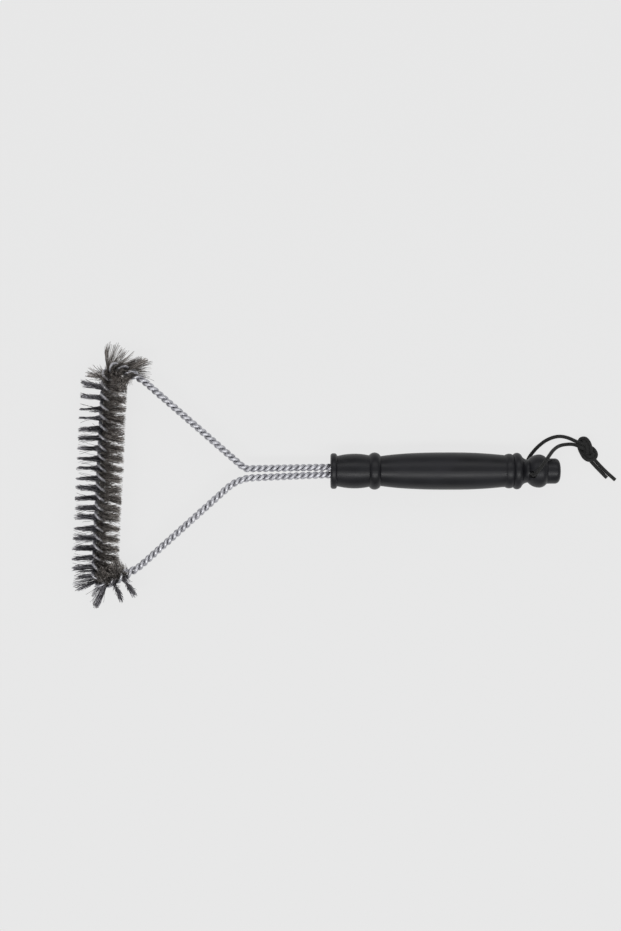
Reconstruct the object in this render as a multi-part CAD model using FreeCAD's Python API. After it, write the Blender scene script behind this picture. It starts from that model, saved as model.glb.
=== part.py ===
import FreeCAD, Part
import math
import os

# Grill cleaning brush, lying flat. Millimetres. +X runs along the handle to its hang end, +Z is up, and the
# floor is z = 0. The handle is drawn with its front face at x = 0 and its axis on y = 0. At the end all
# solids are moved so that the origin is under the middle of the brush.

V = FreeCAD.Vector
UP = V(0, 0, 1)

# ---- grip -------------------------------------------------------------------------------------------------
grip_length = 115.0
grip_radius = 11.8          # the palm swelling at its widest
grip_crest_from_rear = 37.5
front_ring_radius = 11.25
front_ring_width = 4.1
front_ring_round = 1.6
front_groove_radius = 9.7
front_groove_width = 0.6
barrel_radius = 10.97
barrel_length = 19.6
front_bead_radius = 11.73
front_bead_width = 7.3
front_bead_foot = 10.0      # radius where the bead meets its grooves
palm_front_radius = 9.46
palm_rear_radius = 10.05
rear_bead_radius = 10.97
rear_bead_width = 5.2
parting_radius = 10.2
bore_radius = 6.5
front_wall = 8.0

# ---- end cap ----------------------------------------------------------------------------------------------
cap_ring_radius = 11.54
cap_ring_width = 5.0
neck_radius = 7.3
neck_from_ring = 4.4
ball_radius = 10.5
ball_from_neck = 7.1
tip_radius = 8.0
tip_from_ball = 4.6
tip_length = 8.2
tip_corner = 3.0
spigot_length = 14.0
spigot_clearance = 0.05

# ---- cross hole for the cord ------------------------------------------------------------------------------
hole_radius = 2.2
hole_from_neck = 2.0
hole_tilt = 15.0            # degrees from upright, about the handle axis

# ---- anchor plug ------------------------------------------------------------------------------------------
plug_length = 16.0
plug_clearance = 0.05
wire_depth = 22.0           # how far the wires reach into the handle
slot_clearance = 0.06       # round the ropes, in the front wall and in the plug

# ---- twisted wires ----------------------------------------------------------------------------------------
wire_diameter = 2.3
wire_gap = 0.02             # left between the two wires of a rope
leg_pitch_in_wires = 3.455  # one full left-handed turn, in wire diameters
rope_clearance = 0.12       # between the two ropes where they enter the handle
bristle_gap = 2.0           # held open between the wires by the bristles
ease_length = 8.0           # over which the twist opens to take the bristles
steps_per_turn = 8          # points that set each wire's curve
sweep_length = 9.0          # of rope, for one face of a wire

# The loop of wire, seen from above: where its straight runs would meet, and the bend radius there.
stem_start = -4.0
upper_bend = (-53.9, 1.45, 6.0)
upper_knee = (-119.0, 58.0, 30.0)
upper_corner = (-140.6, 69.2, 6.5)
lower_corner = (-147.7, -74.1, 5.0)
lower_knee = (-121.0, -61.0, 30.0)
lower_bend = (-58.3, -4.7, 26.0)
stem_bend_radius = 40.0

# ---- bristles ---------------------------------------------------------------------------------------------
tuft_count = 27
bristle_radius = 14.2
upper_fan = 8.4             # how far the bristles run on past the upper corner's bend, on the leg
lower_fan = 13.0
tuft_turn = 172.0           # degrees of the 180 in a half twist that one tuft fills
tuft_spread = 4.0           # degrees, half the thickness of a tuft at its tips
tuft_clearance = 0.16       # to the wire on each side, and to the tufts across a corner
sections_per_tuft = 8

# ---- hang cord --------------------------------------------------------------------------------------------
cord_diameter = 2.3
knot_length = 17.0
knot_radius = 4.7
knot_turn = -63.0           # degrees from +X, seen from above
knot_centre = V(36.6, 14.0, 0)

# Routes from the middle of the cross hole. The first two share their first point.
cord_over_top = [
    (0.0, 0.0, 0.0), (0.4, -1.0, 5.6), (0.2, -3.0, 11.1), (5.2, 3.4, 12.7), (9.8, 9.2, 8.2),
    (14.2, 13.6, 0.4), (19.6, 16.4, -7.2), (26.2, 17.2, -10.4), (31.6, 16.4, -9.8), (34.8, 15.4, -8.4),
]
cord_under_neck = [
    (0.0, 0.0, 0.0), (-0.3, 1.2, -4.4), (-0.4, 2.7, -9.8), (-0.9, 6.4, -10.4), (1.8, 10.8, -10.5),
    (6.2, 15.8, -10.5), (12.0, 20.2, -10.5), (19.0, 22.4, -10.5), (25.0, 21.4, -10.4), (30.2, 19.0, -9.6),
    (34.0, 17.6, -8.4),
]
cord_tail_short = [(38.6, 9.6, -8.0), (40.1, 5.8, -10.2), (44.4, 1.1, -10.5), (49.4, -4.3, -10.5)]
cord_tail_long = [
    (40.2, 11.2, -8.0), (41.9, 7.5, -10.2), (46.2, 2.8, -10.5), (50.4, -1.4, -10.5), (55.4, -5.7, -10.5),
]

# ---- places that follow from these ------------------------------------------------------------------------
axis_height = max(
    grip_radius, front_ring_radius, front_bead_radius, rear_bead_radius, cap_ring_radius, ball_radius,
)
rope_radius = wire_diameter + wire_gap / 2
rope_spacing = 2 * rope_radius + rope_clearance
leg_pitch = leg_pitch_in_wires * wire_diameter
leg_twist_radius = (wire_diameter + wire_gap) / 2
head_twist_radius = (wire_diameter + bristle_gap) / 2
neck_x = grip_length + cap_ring_width + neck_from_ring
ball_x = neck_x + ball_from_neck
tip_x = ball_x + tip_from_ball
handle_length = tip_x + tip_length
hole_centre = V(neck_x + hole_from_neck, 0, axis_height)

os.makedirs("parts", exist_ok=True)
nodes = {}


# ---- turned pieces ----------------------------------------------------------------------------------------
def at(x, r):
    return V(x, 0, r)


def line(a, b):
    return Part.LineSegment(a, b).toShape()


def arc_to_crest(foot, crest):
    """The arc from foot to crest that runs level with the axis at the crest, in that order."""
    along = crest.x - foot.x
    rise = crest.z - foot.z
    radius = (along ** 2 + rise ** 2) / (2 * abs(rise))
    centre = at(crest.x, crest.z - math.copysign(radius, rise))
    half = math.asin(along / radius) / 2
    middle = at(crest.x - radius * math.sin(half), centre.z + math.copysign(radius * math.cos(half), rise))
    return Part.Arc(foot, middle, crest).toShape()


def corner_arc(a, b, bulge):
    """A quarter-round from a to b, with bulge the corner point that it rounds off."""
    centre = a + b - bulge
    middle = centre + (bulge - centre) / math.sqrt(2)
    return Part.Arc(a, middle, b).toShape()


def bulge_arc(start, end, top):
    """An arc from start to end that reaches radius top halfway."""
    return Part.Arc(start, at((start.x + end.x) / 2, top), end).toShape()


def turned(edges):
    """Spin an outline, given from the axis back to the axis, round the handle axis."""
    first = edges[0].Vertexes[0].Point
    last = edges[-1].Vertexes[-1].Point
    outline = Part.Face(Part.Wire(Part.__sortEdges__(edges + [line(last, first)])))
    solid = outline.revolve(V(0, 0, 0), V(1, 0, 0), 360)
    solid.translate(V(0, 0, axis_height))
    return solid


def rope_slot(x_start, x_end):
    """The round-ended passage that both ropes go through."""
    radius = rope_radius + slot_clearance
    length = x_end - x_start
    box_corner = V(x_start, -rope_spacing / 2, axis_height - radius)
    passage = Part.makeBox(length, rope_spacing, 2 * radius, box_corner)
    for side in (-1, 1):
        centre = V(x_start, side * rope_spacing / 2, axis_height)
        passage = passage.fuse(Part.makeCylinder(radius, length, centre, V(1, 0, 0)))
    return passage


def make_grip():
    barrel_x = front_ring_width + front_groove_width
    bead_x = barrel_x + barrel_length
    palm_x = bead_x + front_bead_width
    crest_x = grip_length - grip_crest_from_rear
    rear_bead_x = grip_length - rear_bead_width
    ring_shoulder = front_ring_radius - front_ring_round

    front_swell = Part.BSplineCurve()
    palm_front = at(palm_x, palm_front_radius)
    crest = at(crest_x, grip_radius)
    swell = grip_radius - palm_front_radius
    front_run = crest_x - palm_x
    front_swell.interpolate(
        Points=[
            palm_front,
            at(palm_x + 0.25 * front_run, palm_front_radius + 0.56 * swell),
            at(palm_x + 0.62 * front_run, palm_front_radius + 0.93 * swell),
            crest,
        ],
        InitialTangent=V(front_run, 0, 3.0 * swell),
        FinalTangent=V(front_run, 0, 0),
    )
    edges = [
        line(at(0, 0), at(0, ring_shoulder)),
        corner_arc(at(0, ring_shoulder), at(front_ring_round, front_ring_radius), at(0, front_ring_radius)),
        line(
            at(front_ring_round, front_ring_radius),
            at(front_ring_width - front_ring_round, front_ring_radius),
        ),
        corner_arc(
            at(front_ring_width - front_ring_round, front_ring_radius),
            at(front_ring_width, ring_shoulder),
            at(front_ring_width, front_ring_radius),
        ),
        line(at(front_ring_width, ring_shoulder), at(front_ring_width, front_groove_radius)),
        line(at(front_ring_width, front_groove_radius), at(barrel_x, front_groove_radius)),
        bulge_arc(at(barrel_x, front_groove_radius), at(bead_x, front_bead_foot), barrel_radius),
        bulge_arc(at(bead_x, front_bead_foot), at(palm_x, palm_front_radius), front_bead_radius),
        front_swell.toShape(),
        arc_to_crest(at(rear_bead_x, palm_rear_radius), crest),
        bulge_arc(at(rear_bead_x, palm_rear_radius), at(grip_length, parting_radius), rear_bead_radius),
        line(at(grip_length, parting_radius), at(grip_length, bore_radius)),
        line(at(grip_length, bore_radius), at(front_wall, bore_radius)),
        line(at(front_wall, bore_radius), at(front_wall, 0)),
    ]
    return turned(edges).cut(rope_slot(-1, front_wall + 1))


def make_end_cap():
    ring_x = grip_length + cap_ring_width
    spigot_radius = bore_radius - spigot_clearance
    spigot_x = grip_length - spigot_length
    edges = [
        line(at(spigot_x, 0), at(spigot_x, spigot_radius)),
        line(at(spigot_x, spigot_radius), at(grip_length, spigot_radius)),
        line(at(grip_length, spigot_radius), at(grip_length, parting_radius)),
        bulge_arc(at(grip_length, parting_radius), at(ring_x, parting_radius), cap_ring_radius),
        arc_to_crest(at(ring_x, parting_radius), at(neck_x, neck_radius)),
        arc_to_crest(at(neck_x, neck_radius), at(ball_x, ball_radius)),
        arc_to_crest(at(tip_x, tip_radius), at(ball_x, ball_radius)),
        line(at(tip_x, tip_radius), at(handle_length - tip_corner, tip_radius)),
        corner_arc(
            at(handle_length - tip_corner, tip_radius),
            at(handle_length, tip_radius - tip_corner),
            at(handle_length, tip_radius),
        ),
        line(at(handle_length, tip_radius - tip_corner), at(handle_length, 0)),
    ]
    tilt = math.radians(hole_tilt)
    hole_axis = V(0, -math.sin(tilt), math.cos(tilt))
    hole_length = 4 * ball_radius
    hole = Part.makeCylinder(hole_radius, hole_length, hole_centre - hole_axis * hole_length / 2, hole_axis)
    return turned(edges).cut(hole)


def make_anchor_plug():
    radius = bore_radius - plug_clearance
    plug = Part.makeCylinder(radius, plug_length, V(front_wall, 0, axis_height), V(1, 0, 0))
    return plug.cut(rope_slot(front_wall - 1, front_wall + plug_length + 1))


# ---- the loop of wire -------------------------------------------------------------------------------------
def loop_corners():
    """Corner points and bend radii of the rope's centre line, from inside the handle and back again."""
    half = rope_spacing / 2
    flat = [
        (wire_depth, half, 0),
        (stem_start, half, stem_bend_radius),
        upper_bend,
        upper_knee,
        upper_corner,
        lower_corner,
        lower_knee,
        lower_bend,
        (stem_start, -half, stem_bend_radius),
        (wire_depth, -half, 0),
    ]
    climb = bristle_radius - axis_height
    corners = []
    for x, y, bend in flat:
        bend_x = upper_bend[0] if y > 0 else lower_bend[0]
        knee_x = upper_knee[0] if y > 0 else lower_knee[0]
        share = min(max((bend_x - x) / (bend_x - knee_x), 0), 1)
        corners.append((V(x, y, axis_height + climb * share), bend))
    return corners


class CentreLine:
    """Straight runs joined by tangent arcs, asked for a point or a direction at a distance along it."""

    def __init__(self, corners):
        self.pieces = []
        self.bends = []
        start = corners[0][0]
        length = 0
        for (before, _), (corner, radius), (after, _) in zip(corners, corners[1:], corners[2:]):
            way_in = (corner - before).normalize()
            way_out = (after - corner).normalize()
            turn = way_in.getAngle(way_out)
            reach = radius * math.tan(turn / 2)
            bend_start = corner - way_in * reach
            run = bend_start.distanceToPoint(start)
            self.pieces.append((length, length + run, start, way_in, None, 0))
            length += run
            inward = (way_out - way_in * math.cos(turn)).normalize()
            self.pieces.append((length, length + radius * turn, bend_start, way_in, inward, radius))
            self.bends.append((length, length + radius * turn))
            length += radius * turn
            start = corner + way_out * reach
        last = corners[-1][0]
        run = last.distanceToPoint(start)
        self.pieces.append((length, length + run, start, (last - start).normalize(), None, 0))
        self.length = length + run

    def at(self, distance):
        for begin, end, start, way, inward, radius in self.pieces:
            if distance <= end:
                break
        along = distance - begin
        if inward is None:
            return start + way * along, V(way)
        turned_by = along / radius
        point = start + way * (radius * math.sin(turned_by)) + inward * (radius * (1 - math.cos(turned_by)))
        return point, way * math.cos(turned_by) + inward * math.sin(turned_by)

    def frame(self, distance):
        """Point, direction, the level vector to the right-hand side of travel, and the one across both."""
        point, way = self.at(distance)
        side = way.cross(UP).normalize()
        return point, way, side, side.cross(way)


centre_line = CentreLine(loop_corners())
# the bends, in order: stem, upper bend, upper knee, upper corner, lower corner, lower knee, lower bend, stem
bristles_start = centre_line.bends[3][0] - upper_fan
bristles_end = centre_line.bends[4][1] + lower_fan
tuft_cell = (bristles_end - bristles_start) / tuft_count


def outside_bristles(distance):
    return max(bristles_start - distance, distance - bristles_end, 0)


def twist_radius(distance):
    """Distance of each wire's centre from the rope's centre line."""
    share = min(outside_bristles(distance) / ease_length, 1)
    smooth = share * share * (3 - 2 * share)
    return head_twist_radius + (leg_twist_radius - head_twist_radius) * smooth


def twist_angle(distance):
    """Left-handed twist, in radians, level across the rope at the middle of each tuft."""
    head_rate = math.pi / tuft_cell
    leg_rate = 2 * math.pi / leg_pitch
    inside = min(max(distance, bristles_start), bristles_end)
    outside = outside_bristles(distance)
    eased = min(outside, ease_length)
    extra = head_rate * eased + (leg_rate - head_rate) * eased ** 2 / (2 * ease_length)
    extra += leg_rate * (outside - eased)
    if distance < bristles_start:
        extra = -extra
    return head_rate * (inside - bristles_start - tuft_cell / 2) + extra


def across(distance, angle):
    """A unit vector square to the rope, at an angle from sideways that turns left-handed with the twist."""
    _, _, side, over = centre_line.frame(distance)
    return side * math.cos(angle) + over * math.sin(angle)


def wire_point(distance, half_turn):
    """A point on the centre line of one wire."""
    point, _ = centre_line.at(distance)
    angle = twist_angle(distance) + math.pi / 2 + half_turn
    return point + across(distance, angle) * twist_radius(distance)


def wire_curve(half_turn):
    count = math.ceil(centre_line.length / (leg_pitch / steps_per_turn))
    curve = Part.BSplineCurve()
    curve.interpolate([wire_point(centre_line.length * i / count, half_turn) for i in range(count + 1)])
    return curve


def wire_piece(curve, half_turn, start, end):
    """The stretch of a wire between two distances along the loop, swept a turn or two at a time."""
    first = curve.parameter(wire_point(start, half_turn))
    last = curve.parameter(wire_point(end, half_turn))
    count = math.ceil((end - start) / sweep_length)
    stops = [first + (last - first) * i / count for i in range(count + 1)]
    path = Part.Wire([curve.toShape(begin, stop) for begin, stop in zip(stops, stops[1:])])
    section = Part.Wire(Part.makeCircle(wire_diameter / 2, curve.value(first), curve.tangent(first)[0]))
    return path.makePipeShell([section], True, True)


def make_wires():
    bends = centre_line.bends
    middle = [(start + end) / 2 for start, end in bends]
    stops = [
        ("upper_stem", 0),
        ("upper_leg", middle[1]),
        ("upper_corner", middle[2]),
        ("head", bends[3][1]),
        ("lower_corner", bends[4][0]),
        ("lower_leg", middle[5]),
        ("lower_stem", middle[6]),
    ]
    for number, half_turn in ((1, 0), (2, math.pi)):
        curve = wire_curve(half_turn)
        ends = [stop for _, stop in stops[1:]] + [centre_line.length]
        for (name, start), end in zip(stops, ends):
            nodes[f"{name}_wire_{number}"] = wire_piece(curve, half_turn, start, end)


# ---- bristle tufts ----------------------------------------------------------------------------------------
def room_inside(distance):
    """How far a bristle can reach to the inside of the loop before it meets those from round the corner."""
    point, way, side, _ = centre_line.frame(distance)
    room = bristle_radius
    for corner in (upper_corner, lower_corner):
        bend = 3 if corner is upper_corner else 4
        start, end = centre_line.bends[bend]
        if start <= distance <= end:
            return corner[2] - 2 * tuft_clearance
        before, way_in = centre_line.at(start)
        after, way_out = centre_line.at(end)
        half_open = (math.pi - way_in.getAngle(way_out)) / 2
        from_corner = (start - distance if distance < start else distance - end) + before.distanceToPoint(
            V(corner[0], corner[1], before.z)
        )
        room = min(room, from_corner * math.tan(half_open) - 2 * tuft_clearance)
    return room


def tuft_section(distance):
    """One slice across a tuft: two arms whose shared waist passes between the wires."""
    point, _, side, over = centre_line.frame(distance)
    angle = twist_angle(distance)
    room = room_inside(distance)
    waist = bristle_gap / 2 - tuft_clearance
    spread = math.radians(tuft_spread)
    corners = []
    for arm in (0, math.pi):
        for offset in (-spread, 0, spread):
            direction = angle + arm + offset
            inward = -math.cos(direction)
            reach = min(bristle_radius, room / inward) if inward > 0.01 else bristle_radius
            spoke = side * math.cos(direction) + over * math.sin(direction)
            corners.append(point + spoke * reach)
        direction = angle + arm + math.pi / 2
        corners.append(point + side * (waist * math.cos(direction)) + over * (waist * math.sin(direction)))
    return Part.makePolygon(corners + corners[:1])


def make_tufts():
    for i in range(tuft_count):
        middle = bristles_start + (i + 0.5) * tuft_cell
        length = tuft_cell * tuft_turn / 180
        sections = []
        for k in range(sections_per_tuft):
            share = k / (sections_per_tuft - 1) - 0.5
            sections.append(tuft_section(middle + share * length))
        nodes[f"bristle_tuft_{i + 1:02d}"] = Part.makeLoft(sections, True, True)


# ---- hang cord --------------------------------------------------------------------------------------------
def cord_tube(name, route):
    """A round cord along straight runs joined by tangent arcs."""
    points = [hole_centre + V(*p) for p in route]
    edges = []
    start = points[0]
    radii = []
    for before, corner, after in zip(points, points[1:], points[2:]):
        way_in = (corner - before).normalize()
        way_out = (after - corner).normalize()
        half = way_in.getAngle(way_out) / 2
        reach = 0.45 * min(before.distanceToPoint(corner), corner.distanceToPoint(after))
        radius = reach / math.tan(half)
        radii.append(round(radius, 1))
        bend_start = corner - way_in * reach
        bend_end = corner + way_out * reach
        inward = (way_out - way_in).normalize()
        middle = corner + inward * (radius / math.cos(half) - radius)
        edges.append(Part.LineSegment(start, bend_start).toShape())
        edges.append(Part.Arc(bend_start, middle, bend_end).toShape())
        start = bend_end
    edges.append(Part.LineSegment(start, points[-1]).toShape())
    path = Part.Wire(edges)
    section = Part.Wire(Part.makeCircle(cord_diameter / 2, points[0], points[1] - points[0]))
    tube = path.makePipeShell([section], True, False)
    print(name, "length", round(path.Length, 1), "radii", radii)
    expected = path.Length * math.pi * cord_diameter ** 2 / 4
    print(name, "volume", round(tube.Volume, 1), "of", round(expected, 1))
    return tube


def make_knot():
    """A plain round-ended solid for the overhand knot, lying on the floor."""
    half = knot_length / 2
    shoulder = half - knot_radius
    edges = [
        corner_arc(V(-half, 0, 0), V(-shoulder, 0, knot_radius), V(-half, 0, knot_radius)),
        line(V(-shoulder, 0, knot_radius), V(shoulder, 0, knot_radius)),
        corner_arc(V(shoulder, 0, knot_radius), V(half, 0, 0), V(half, 0, knot_radius)),
        line(V(half, 0, 0), V(-half, 0, 0)),
    ]
    knot = Part.Face(Part.Wire(edges)).revolve(V(0, 0, 0), V(1, 0, 0), 360)
    knot.rotate(V(0, 0, 0), UP, knot_turn)
    knot.translate(V(hole_centre.x, 0, knot_radius) + knot_centre)
    return knot


def make_cord():
    knot = make_knot()
    routes = {
        "cord_over_top": cord_over_top,
        "cord_under_neck": cord_under_neck,
        "cord_tail_short": cord_tail_short,
        "cord_tail_long": cord_tail_long,
    }
    nodes["cord_knot"] = knot
    for name, route in routes.items():
        nodes[name] = cord_tube(name, route).cut(knot)


nodes["grip"] = make_grip()
nodes["end_cap"] = make_end_cap()
nodes["anchor_plug"] = make_anchor_plug()
make_wires()
make_tufts()
make_cord()

# ---- origin under the middle of the brush, the cord left out ----------------------------------------------
brush = Part.makeCompound([shape for name, shape in nodes.items() if not name.startswith("cord_")])
extent = brush.optimalBoundingBox(False, False)
to_origin = V(-extent.Center.x, -extent.Center.y, 0)
print("extent", extent)
for name, shape in nodes.items():
    shape.translate(to_origin)
    shape.exportStep(f"parts/{name}.step")
print(len(nodes), "nodes")
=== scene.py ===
import math
import random
import bmesh
import bpy
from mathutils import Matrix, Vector


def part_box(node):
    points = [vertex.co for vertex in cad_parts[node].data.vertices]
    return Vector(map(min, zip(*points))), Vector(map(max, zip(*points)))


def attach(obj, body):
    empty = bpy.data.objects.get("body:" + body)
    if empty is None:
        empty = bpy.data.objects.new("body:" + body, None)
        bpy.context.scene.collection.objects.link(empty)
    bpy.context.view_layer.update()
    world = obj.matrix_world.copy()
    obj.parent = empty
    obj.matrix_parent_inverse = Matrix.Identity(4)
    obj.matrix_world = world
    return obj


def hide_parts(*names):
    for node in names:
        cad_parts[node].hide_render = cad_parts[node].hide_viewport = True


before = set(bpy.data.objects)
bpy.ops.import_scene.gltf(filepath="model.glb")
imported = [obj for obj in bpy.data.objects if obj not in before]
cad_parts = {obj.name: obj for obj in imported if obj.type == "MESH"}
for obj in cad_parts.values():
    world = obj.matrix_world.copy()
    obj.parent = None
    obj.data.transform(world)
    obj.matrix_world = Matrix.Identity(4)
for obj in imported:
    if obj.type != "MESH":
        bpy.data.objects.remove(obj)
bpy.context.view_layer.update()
random.seed(27)

# millimetres from the middle of the handle's front face, on its axis; +x runs to the hang end
mm = 0.001
gripLow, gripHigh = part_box("grip")
axisMiddle = (gripLow + gripHigh) / 2
up = Vector((0, 0, 1))


def place(x, y, z):
    return Vector((gripLow.x + x * mm, axisMiddle.y + y * mm, axisMiddle.z + z * mm))


# camera, straight above the brush
view = {"middle": (-12.6, 3.5), "height": 883, "lens": 54.15, "sensor": 36}
cameraData = bpy.data.cameras.new("camera")
cameraData.sensor_width = view["sensor"]
cameraData.lens = view["lens"]
cameraData.clip_end = 20
camera = bpy.data.objects.new("camera", cameraData)
camera.location = place(view["middle"][0], view["middle"][1], view["height"])
bpy.context.collection.objects.link(camera)
bpy.context.scene.camera = camera

# hang cord: two strands from the middle of the cross hole, through one overhand knot, to two cut ends
cord = {
    "hole": (126.4, 0, 0),
    "diameter": 2.3,
    "overTop": [
        (0.0, 0.0, 0.0), (0.4, -1.0, 5.6), (0.2, -3.0, 11.1), (5.2, 3.4, 12.7), (9.8, 9.2, 8.2),
        (14.2, 13.6, 0.4), (19.6, 16.4, -7.2), (26.2, 17.2, -10.4),
    ],
    "underNeck": [
        (0.0, 0.0, 0.0), (-0.3, 1.2, -4.4), (-0.4, 2.7, -9.8), (-0.9, 6.4, -10.4), (1.8, 10.8, -10.5),
        (6.2, 15.8, -10.5), (12.0, 20.2, -10.5), (19.0, 22.4, -10.5), (25.0, 21.4, -10.4),
    ],
    "tailShort": [(40.2, 5.8, -10.4), (44.7, 1.0, -10.5), (50.0, -4.3, -10.5)],
    "tailLong": [(41.9, 7.5, -10.4), (46.2, 2.8, -10.5), (50.4, -1.4, -10.5), (55.4, -5.7, -10.5)],
}
knot = {
    "centre": (36.6, 14.0, -8.65),
    "turn": -63,              # degrees, the knot's long axis seen from above
    "strandsApart": 2.25,
    # the pair's middle, along and across the long axis and up: over, under, over, under, over, under
    "turns": [
        (-6.6, -4.4, -1.4), (-5.0, -3.2, 1.2), (-3.4, -1.7, 2.2), (-1.8, -0.4, 1.4), (-0.2, 1.1, -0.7),
        (1.0, 2.4, -1.6), (2.6, 3.3, -1.0), (4.6, 3.4, 0.2), (6.2, 2.5, 1.5), (6.8, 0.3, 2.0),
        (5.9, -2.0, 1.6), (3.8, -2.9, 0.6), (1.2, -2.8, -0.4), (-1.4, -2.6, -1.2), (-3.6, -2.0, -1.7),
        (-5.5, -1.1, -1.2), (-6.5, 0.2, 0.0), (-5.9, 1.5, 1.2), (-4.1, 2.0, 2.0), (-1.4, 1.8, 2.3),
        (0.8, 1.2, 2.0), (2.8, 0.4, 0.9), (4.6, 0.2, -0.8), (6.4, 0.2, -1.8),
    ],
}


def cordPoint(point):
    x, y, z = (a + b for a, b in zip(cord["hole"], point))
    return place(x, y, z)


def knotPoints(side):
    turn = math.radians(knot["turn"])
    along = Vector((math.cos(turn), math.sin(turn), 0))
    across = up.cross(along)
    middles = [Vector(knot["centre"]) + along * u + across * v + up * w for u, v, w in knot["turns"]]
    points = []
    for before, middle, after in zip(middles[:1] + middles, middles, middles[1:] + middles[-1:]):
        sideways = up.cross(after - before).normalized()
        points.append(middle + sideways * (side * knot["strandsApart"] / 2))
    return points


# what a curve draws, as a mesh of its own, with the end caps joined to the tube; a curve's own bounds
# are a metre too large all round
def meshOf(curve):
    mesh = bpy.data.meshes.new_from_object(curve.evaluated_get(bpy.context.evaluated_depsgraph_get()))
    bm = bmesh.new()
    bm.from_mesh(mesh)
    bmesh.ops.remove_doubles(bm, verts=bm.verts, dist=0.001 * mm)
    bm.to_mesh(mesh)
    bm.free()
    return mesh


def makeCord(name, points, nodes):
    data = bpy.data.curves.new(name, "CURVE")
    data.dimensions = "3D"
    data.bevel_depth = cord["diameter"] * mm / 2
    data.bevel_resolution = 5
    data.use_fill_caps = True
    data.resolution_u = 10
    spline = data.splines.new("NURBS")
    spline.points.add(len(points) - 1)
    for target, point in zip(spline.points, points):
        target.co = (*cordPoint(point), 1)
    spline.order_u = 3
    spline.use_endpoint_u = True
    spline.use_smooth = True
    curve = bpy.data.objects.new(name, data)
    bpy.context.collection.objects.link(curve)
    tube = meshOf(curve)
    tube.set_sharp_from_angle(angle=math.radians(60))
    data.bevel_depth = 0
    centreline = [vertex.co.copy() for vertex in meshOf(curve).vertices]
    bpy.data.objects.remove(curve)
    piece = bpy.data.objects.new(name, tube)
    bpy.context.collection.objects.link(piece)
    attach(piece, "root")
    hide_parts(*nodes)
    return piece


cordOne = makeCord("cordOverTop", cord["overTop"] + knotPoints(-1) + cord["tailShort"],
                   ["cord_over_top", "cord_tail_short", "cord_knot"])
cordTwo = makeCord("cordUnderNeck", cord["underNeck"] + knotPoints(1) + cord["tailLong"],
                   ["cord_under_neck", "cord_tail_long"])
print("cord made")

# the loop of wire: where its straight runs would meet, with the bend radius there
loop = {
    "corners": [
        (22.0, 2.37, 0, 0), (-4.0, 2.37, 0, 40), (-53.9, 1.45, 0, 6), (-119.0, 58.0, 2.4, 30),
        (-140.6, 69.2, 2.4, 6.5), (-147.7, -74.1, 2.4, 5), (-121.0, -61.0, 2.4, 30),
        (-58.3, -4.7, 0, 26), (-4.0, -2.37, 0, 40), (22.0, -2.37, 0, 0),
    ],
    "headBends": (3, 4),      # the bends at the two ends of the head, counted from the first
    "upperFan": 8.4,          # mm of bristles on the leg, past the upper bend
    "lowerFan": 13.0,
    "tufts": 27,
}


# straight runs and tangent arcs: start and end distance, start point, heading, inward direction, radius
def tracedLoop():
    runs, bends = [], []
    corners = [(Vector(c[:3]), c[3]) for c in loop["corners"]]
    start, length = corners[0][0], 0
    for (before, _), (corner, radius), (after, _) in zip(corners, corners[1:], corners[2:]):
        wayIn = (corner - before).normalized()
        wayOut = (after - corner).normalized()
        turn = wayIn.angle(wayOut)
        reach = radius * math.tan(turn / 2)
        bendStart = corner - wayIn * reach
        run = (bendStart - start).length
        runs.append((length, length + run, start, wayIn, None, 0))
        length += run
        inward = (wayOut - wayIn * math.cos(turn)).normalized()
        runs.append((length, length + radius * turn, bendStart, wayIn, inward, radius))
        bends.append((length, length + radius * turn))
        length += radius * turn
        start = corner + wayOut * reach
    run = (corners[-1][0] - start).length
    runs.append((length, length + run, start, (corners[-1][0] - start).normalized(), None, 0))
    return runs, bends


runs, bends = tracedLoop()
bristlesStart = bends[loop["headBends"][0]][0] - loop["upperFan"]
bristlesEnd = bends[loop["headBends"][1]][1] + loop["lowerFan"]
tuftCell = (bristlesEnd - bristlesStart) / loop["tufts"]


# point, heading, level sideways direction (outwards), and the direction across both
def onLoop(distance):
    run = next((r for r in runs if distance <= r[1]), runs[-1])
    begin, _, start, heading, inward, radius = run
    along = distance - begin
    if inward is None:
        point, way = start + heading * along, heading
    else:
        turned = along / radius
        point = start + heading * (radius * math.sin(turned)) + inward * (radius * (1 - math.cos(turned)))
        way = heading * math.cos(turned) + inward * math.sin(turned)
    side = way.cross(up).normalized()
    return point, way, side, side.cross(way)


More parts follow.
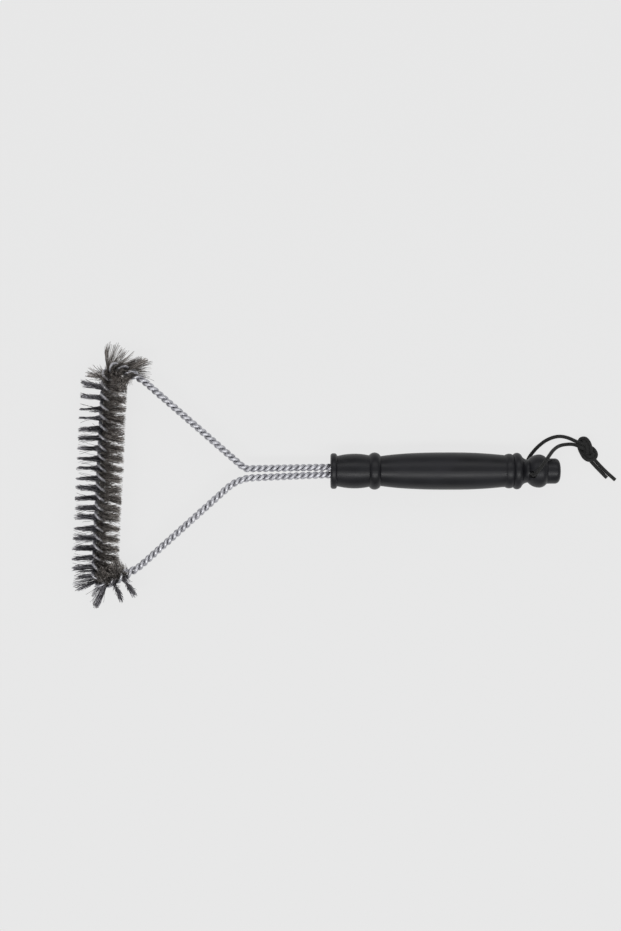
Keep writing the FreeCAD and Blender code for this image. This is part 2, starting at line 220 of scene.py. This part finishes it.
# bristles: fine crimped steel filaments, pinched between the wires and carried round by their twist
bristle = {
    "perTuft": 185,
    "strands": 9,             # a tuft's filaments cling together in so many strands
    "upright": 0.38,          # share that stands up or down where the wires lie side by side
    "combed": (0.1, 0.9),     # how far the upright ones lean in over the frame
    "outerReach": 15.4,
    "innerReach": 13.1,
    "reachOnBend": 12.8,
    "outerSpread": 0.13,      # of the reach, mostly shorter
    "innerSpread": 0.06,
    "diameter": 0.26,
    "pinchedWithin": 0.85,    # mm each way, between the two wires
    "bunch": 1.3,             # mm, spread of a tuft's filaments along the rope where they are pinched
    "bunchOnBend": 2.6,
    "pulledTogether": 0.72,   # share by which the outer tips close up to their tuft's middle
    "strandDrift": 0.8,       # how far strands part along the rope, and swing round it
    "strandSwing": 0.7,
    "strandWidth": 0.45,      # mm, spread of a strand's filaments where they are pinched
    "edgeWidth": 0.8,         # mm, how far the upright ones reach from where two tufts meet
    "keptWithin": 0.49,       # share of the tuft's length of rope, each way from its middle
    "angleSpread": 0.05,      # radians
    "looseDrift": 0.55,       # how far single filaments part from their strand
    "looseSwing": 0.4,
    "outerFray": (0.3, 1.1),  # mm, loose spread of the outer tips, tuft by tuft
    "innerFray": (1.2, 2.1),
    "fanFray": (1.9, 2.5),
    "stray": 0.03,            # share of filaments that stick out of their tuft
    "strayDrift": 4,          # mm, how far they may stick out each way
    "straySwing": 2,
    "crimp": 0.16,            # mm, height of the crimp's waves
    "crimpLength": 3.4,       # mm from wave to wave
    "crimpRise": 3,           # straight where pinched, with full waves after a third of the reach
    "crimpScatter": 0.6,      # radians, how unevenly a strand's waves line up
    "crimpSideways": 0.6,     # share of the waves that also goes sideways
    "bend": 1.4,              # power by which the drift grows towards the tip
    "tipTaper": 0.3,          # share by which a filament thins to its tip
    "points": 8,
    # how far each tuft's outer tips lean back along the wire, of their reach
    "lean": {1: 0.4, 2: 0.55, 3: 0.75, 4: 0.25, 5: 0.1, 6: 0.08, 25: 0.3, 26: 0.0, 27: -0.1},
    "leanRest": -0.06,
    "leanJitter": 0.06,
    "fanned": (1, 2, 3, 4),   # tufts on the upper bend that open into fans
}


def makeTuft(number):
    data = bpy.data.curves.new(f"bristleTuft{number:02d}", "CURVE")
    data.dimensions = "3D"
    data.bevel_depth = bristle["diameter"] * mm / 2
    data.bevel_resolution = 0
    data.use_fill_caps = True
    for _ in range(2):
        data.materials.append(None)   # without slots, every filament would get material 0
    middle = bristlesStart + (number - 0.5) * tuftCell
    lean = bristle["lean"].get(number, bristle["leanRest"]) + random.uniform(-1, 1) * bristle["leanJitter"]
    fanned = number in bristle["fanned"]
    bunch = bristle["bunchOnBend"] if fanned else bristle["bunch"]
    pulled = 0 if fanned else bristle["pulledTogether"]
    outerFray = random.uniform(*bristle["fanFray" if fanned else "outerFray"])
    innerFray = random.uniform(*bristle["innerFray"])
    strands = [
        {"offset": random.gauss(0, bunch), "drift": random.gauss(0, bristle["strandDrift"]),
         "swing": random.gauss(0, bristle["strandSwing"]), "wave": random.uniform(0, 2 * math.pi)}
        for _ in range(bristle["strands"])
    ]
    for _ in range(bristle["perTuft"]):
        strand = random.choice(strands)
        upright = random.random() < bristle["upright"]
        if upright:
            offset = random.choice((-1, 1)) * (0.5 * tuftCell - abs(random.gauss(0, bristle["edgeWidth"])))
        else:
            offset = strand["offset"] + random.gauss(0, bristle["strandWidth"])
        offset = max(min(offset, bristle["keptWithin"] * tuftCell), -bristle["keptWithin"] * tuftCell)
        point, way, side, over = onLoop(middle + offset)
        angle = math.pi * offset / tuftCell + random.gauss(0, bristle["angleSpread"])
        pinch = random.uniform(-1, 1) * bristle["pinchedWithin"]
        for arm in (1, -1):
            heading = (side * math.cos(angle) + over * math.sin(angle)) * arm
            if upright and heading.z > 0:
                heading = (heading - side * random.uniform(*bristle["combed"])).normalized()
            acrossArm = way.cross(heading)
            outer = heading.dot(side) > 0
            if outer:
                reach = bristle["reachOnBend"] if fanned else bristle["outerReach"]
                reach *= 1 + random.uniform(-1, 0.3) * bristle["outerSpread"]
            else:
                reach = bristle["innerReach"] * (1 + random.uniform(-1, 1) * bristle["innerSpread"])
            fray = outerFray if outer else innerFray
            drift = fray * (strand["drift"] + random.gauss(0, bristle["looseDrift"]))
            if outer:
                drift -= offset * pulled + lean * reach
            swing = strand["swing"] + random.gauss(0, bristle["looseSwing"])
            if random.random() < bristle["stray"]:
                drift += random.uniform(-bristle["strayDrift"], bristle["strayDrift"])
                swing += random.uniform(-bristle["straySwing"], bristle["straySwing"])
            wavePhase = strand["wave"] + random.gauss(0, bristle["crimpScatter"])
            spline = data.splines.new("POLY")
            spline.points.add(bristle["points"] - 1)
            spline.material_index = 0 if outer and not fanned else 1
            for k, target in enumerate(spline.points):
                t = k / (bristle["points"] - 1)
                wave = math.sin(2 * math.pi * t * reach / bristle["crimpLength"] + wavePhase)
                crimp = bristle["crimp"] * wave * min(1, bristle["crimpRise"] * t)
                spot = point + heading * (reach * t) + way * (drift * t ** bristle["bend"] + crimp)
                spot += acrossArm * (pinch * (1 - t) + swing * t * t + bristle["crimpSideways"] * crimp)
                lowest = bristle["diameter"] / 2 - axisMiddle.z / mm
                target.co = (*place(spot.x, spot.y, max(spot.z, lowest)), 1)
                target.radius = 1 - bristle["tipTaper"] * t
    curve = bpy.data.objects.new(data.name, data)
    bpy.context.collection.objects.link(curve)
    mesh = meshOf(curve)
    bpy.data.objects.remove(curve)
    piece = bpy.data.objects.new(data.name, mesh)
    bpy.context.collection.objects.link(piece)
    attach(piece, "root")
    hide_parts(f"bristle_tuft_{number:02d}")
    return piece


tufts = [makeTuft(i + 1) for i in range(loop["tufts"])]
print("bristles made")


# sRGB hex colour to the linear values that sockets take
def linear(hexColour):
    channels = [int(hexColour[i:i + 2], 16) / 255 for i in (1, 3, 5)]
    return (*(c / 12.92 if c <= 0.04045 else ((c + 0.055) / 1.055) ** 2.4 for c in channels), 1)


def newMaterial(name, **settings):
    material = bpy.data.materials.new(name)
    material.use_nodes = True
    shader = material.node_tree.nodes["Principled BSDF"]
    for socket, value in settings.items():
        shader.inputs[socket.replace("_", " ")].default_value = value
    return material, material.node_tree, shader


# adds a node: attributes and socket values by name, links as socket name = output socket
def addNode(tree, kind, links=None, values=None, **attributes):
    node = tree.nodes.new(kind)
    for attribute, value in attributes.items():
        setattr(node, attribute, value)
    for socket, value in (values or {}).items():
        node.inputs[socket].default_value = value
    for socket, output in (links or {}).items():
        tree.links.new(output, node.inputs[socket])
    return node


def ramp(tree, factor, stops):
    node = addNode(tree, "ShaderNodeValToRGB", {"Fac": factor})
    elements = node.color_ramp.elements
    while len(elements) < len(stops):
        elements.new(0.5)
    for element, (position, colour) in zip(elements, stops):
        element.position = position
        element.color = linear(colour)
    return node.outputs["Color"]


# black polypropylene, injection moulded against a finely blasted tool: satin, with faint rubbed patches
def mouldedPolypropylene():
    material, tree, shader = newMaterial("mouldedPolypropylene", IOR=1.49, Specular_IOR_Level=0.32)
    coords = addNode(tree, "ShaderNodeTexCoord").outputs["Object"]
    grain = addNode(tree, "ShaderNodeTexNoise", {"Vector": coords},
                    {"Scale": 1 / (0.45 * mm), "Detail": 3.0})
    rub = addNode(tree, "ShaderNodeTexNoise", {"Vector": coords}, {"Scale": 1 / (16 * mm), "Detail": 5.0})
    colour = ramp(tree, rub.outputs["Fac"], [(0.3, "#101013"), (0.7, "#19191d")])
    tree.links.new(colour, shader.inputs["Base Color"])
    rough = addNode(tree, "ShaderNodeMapRange", {"Value": rub.outputs["Fac"]},
                    {"From Min": 0.3, "From Max": 0.7, "To Min": 0.34, "To Max": 0.46})
    tree.links.new(rough.outputs["Result"], shader.inputs["Roughness"])
    bump = addNode(tree, "ShaderNodeBump", {"Height": grain.outputs["Fac"]},
                   {"Strength": 0.25, "Distance": 0.03 * mm})
    tree.links.new(bump.outputs["Normal"], shader.inputs["Normal"])
    return material


# galvanised steel wire: dull zinc skin, mottled light and dark, finely grained, with painted shade
# darkening its colour down in the lay
def galvanisedWire():
    material, tree, shader = newMaterial("galvanisedWire", Metallic=1.0)
    shader.inputs["Specular Tint"].default_value = linear("#cfcfd3")
    coords = addNode(tree, "ShaderNodeTexCoord").outputs["Object"]
    spangle = addNode(tree, "ShaderNodeTexNoise", {"Vector": coords},
                      {"Scale": 1 / (1.6 * mm), "Detail": 4.0})
    fine = addNode(tree, "ShaderNodeTexNoise", {"Vector": coords}, {"Scale": 1 / (0.3 * mm), "Detail": 2.0})
    colour = ramp(tree, spangle.outputs["Fac"], [(0.3, "#b4b4b8"), (0.52, "#cfcfd3"), (0.72, "#e6e6ea")])
    # painted shade: ambient occlusion darkens the zinc's colour where the wires lie close together in the
    # lay
    cavity = addNode(tree, "ShaderNodeAmbientOcclusion", values={"Distance": 1.6 * mm}, samples=8)
    paintedLayShade = ramp(tree, cavity.outputs["AO"], [(0.1, "#7c7c80"), (0.5, "#ffffff")])
    mixed = addNode(tree, "ShaderNodeMix", data_type="RGBA", blend_type="MULTIPLY")
    mixed.inputs[0].default_value = 1.0
    tree.links.new(colour, mixed.inputs[6])
    tree.links.new(paintedLayShade, mixed.inputs[7])
    tree.links.new(mixed.outputs[2], shader.inputs["Base Color"])
    rough = addNode(tree, "ShaderNodeMapRange", {"Value": spangle.outputs["Fac"]},
                    {"From Min": 0.3, "From Max": 0.7, "To Min": 0.42, "To Max": 0.58})
    tree.links.new(rough.outputs["Result"], shader.inputs["Roughness"])
    bump = addNode(tree, "ShaderNodeBump", {"Height": fine.outputs["Fac"]},
                   {"Strength": 0.2, "Distance": 0.02 * mm})
    tree.links.new(bump.outputs["Normal"], shader.inputs["Normal"])
    return material


# hard-drawn stainless filament: dark, with thin glints, each filament a little different
def drawnFilament(name, dark, middle, light):
    material, tree, shader = newMaterial(name, Metallic=0.6)
    island = addNode(tree, "ShaderNodeNewGeometry").outputs["Random Per Island"]
    colour = ramp(tree, island, [(0.0, dark), (0.6, middle), (1.0, light)])
    tree.links.new(colour, shader.inputs["Base Color"])
    coords = addNode(tree, "ShaderNodeTexCoord").outputs["Object"]
    soot = addNode(tree, "ShaderNodeTexNoise", {"Vector": coords}, {"Scale": 1 / (4 * mm), "Detail": 3.0})
    rough = addNode(tree, "ShaderNodeMapRange", {"Value": soot.outputs["Fac"]},
                    {"From Min": 0.3, "From Max": 0.7, "To Min": 0.3, "To Max": 0.5})
    tree.links.new(rough.outputs["Result"], shader.inputs["Roughness"])
    return material


# braided polyester cord: fine crossing yarns, matte black with a slight sheen; its colour is painted darker
# between the yarns as painted shade and lighter on their crowns as a painted highlight
def braidedPolyester():
    material, tree, shader = newMaterial("braidedPolyester", Roughness=0.7, IOR=1.5, Specular_IOR_Level=0.3)
    shader.inputs["Sheen Weight"].default_value = 0.08
    uv = addNode(tree, "ShaderNodeTexCoord").outputs["UV"]
    parts = addNode(tree, "ShaderNodeSeparateXYZ", {"Vector": uv})
    around, along = parts.outputs["Y"], parts.outputs["X"]
    yarns = {"round": 8, "along": round(120 / 1.6)}   # a crossing about every 1.6 mm of a 120 mm strand
    aroundTurns = addNode(tree, "ShaderNodeMath", {0: around}, {1: 2 * math.pi * yarns["round"]},
                          operation="MULTIPLY").outputs[0]
    alongTurns = addNode(tree, "ShaderNodeMath", {0: along}, {1: 2 * math.pi * yarns["along"]},
                         operation="MULTIPLY").outputs[0]
    waves = []
    for operation in ("ADD", "SUBTRACT"):
        phase = addNode(tree, "ShaderNodeMath", {0: aroundTurns, 1: alongTurns},
                        operation=operation).outputs[0]
        waves.append(addNode(tree, "ShaderNodeMath", {0: phase}, operation="SINE").outputs[0])
    weave = addNode(tree, "ShaderNodeMath", {0: waves[0], 1: waves[1]}, operation="MAXIMUM").outputs[0]
    height = addNode(tree, "ShaderNodeMapRange", {"Value": weave},
                     {"From Min": -1.0, "From Max": 1.0}).outputs[0]
    # painted shade and painted highlight: the colour follows the weave's height, dark down between the
    # yarns and lighter on their crowns
    colour = ramp(tree, height, [(0.2, "#080808"), (1.0, "#1f1f1e")])
    tree.links.new(colour, shader.inputs["Base Color"])
    bump = addNode(tree, "ShaderNodeBump", {"Height": height}, {"Strength": 0.7, "Distance": 0.12 * mm})
    tree.links.new(bump.outputs["Normal"], shader.inputs["Normal"])
    return material


# cured epoxy round the wire ends, seen only down the slot
def castEpoxy():
    material, tree, shader = newMaterial("castEpoxy", Roughness=0.3, IOR=1.55)
    coords = addNode(tree, "ShaderNodeTexCoord").outputs["Object"]
    cloud = addNode(tree, "ShaderNodeTexNoise", {"Vector": coords}, {"Scale": 1 / (3 * mm), "Detail": 4.0})
    colour = ramp(tree, cloud.outputs["Fac"], [(0.3, "#4a3c22"), (0.7, "#6b5834")])
    tree.links.new(colour, shader.inputs["Base Color"])
    return material


# opal acrylic sheet lit from below, so the brush throws almost no shadow on it
def opalAcrylic():
    material, tree, shader = newMaterial("opalAcrylic", Roughness=0.9)
    shader.inputs["Base Color"].default_value = linear("#404040")
    shader.inputs["Specular IOR Level"].default_value = 0.0
    shader.inputs["Emission Color"].default_value = (1, 1, 1, 1)
    shader.inputs["Emission Strength"].default_value = studio["floorGlow"]
    return material


studio = {
    "floor": 6.0,             # m across
    "floorGlow": 0.754,
    "zenith": 0.5,            # how brightly the room glows overhead, and low down
    "horizon": 0.3,
    "softboxes": [            # name, place in m, watts, size in m
        ("stripKey", (0.0, -0.55, 1.2), 12, (2.2, 0.25)),
        ("stripFill", (0.0, 0.95, 1.0), 5, (2.2, 0.5)),
    ],
}


# fills the slots that are there, because clearing them would forget which face has which material
def dress(piece, *materials):
    slots = piece.data.materials
    while len(slots) < len(materials):
        slots.append(None)
    for i, material in enumerate(materials):
        slots[i] = material


plastic = mouldedPolypropylene()
wire = galvanisedWire()
outerFilament = drawnFilament("drawnFilament", "#262427", "#5a585d", "#cfcdd3")
innerFilament = drawnFilament("heatTintedFilament", "#302d2b", "#7a746f", "#cac3bd")
braid = braidedPolyester()
epoxy = castEpoxy()
for name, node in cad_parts.items():
    if "_wire_" in name:
        dress(node, wire)
    elif name in ("grip", "end_cap"):
        dress(node, plastic)
    elif name == "anchor_plug":
        dress(node, epoxy)
for piece in (cordOne, cordTwo):
    dress(piece, braid)
for piece in tufts:
    dress(piece, outerFilament, innerFilament)
print("materials made")

# floor
bm = bmesh.new()
bmesh.ops.create_grid(bm, x_segments=1, y_segments=1, size=studio["floor"] / 2)
floorMesh = bpy.data.meshes.new("floor")
bm.to_mesh(floorMesh)
bm.free()
floor = bpy.data.objects.new("floor", floorMesh)
bpy.context.collection.objects.link(floor)
dress(floor, opalAcrylic())

# a dim room that gets darker towards the horizon
world = bpy.data.worlds.new("room")
world.use_nodes = True
tree = world.node_tree
worldDirection = addNode(tree, "ShaderNodeTexCoord").outputs["Generated"]
height = addNode(tree, "ShaderNodeSeparateXYZ", {"Vector": worldDirection}).outputs["Z"]
glow = addNode(tree, "ShaderNodeMapRange", {"Value": height},
               {"From Min": 0.1, "From Max": 0.9, "To Min": studio["horizon"], "To Max": studio["zenith"]})
tree.nodes["Background"].inputs["Color"].default_value = linear("#f6f7fa")
tree.links.new(glow.outputs["Result"], tree.nodes["Background"].inputs["Strength"])
bpy.context.scene.world = world


def softbox(name, position, power, size):
    data = bpy.data.lights.new(name, "AREA")
    data.shape = "RECTANGLE"
    data.size, data.size_y = size
    data.energy = power
    light = bpy.data.objects.new(name, data)
    light.location = position
    light.rotation_euler = (-Vector(position)).to_track_quat("-Z", "Y").to_euler()
    bpy.context.collection.objects.link(light)


for name, position, power, size in studio["softboxes"]:
    softbox(name, position, power, size)
bpy.context.scene.view_settings.view_transform = "Standard"
print("studio made")
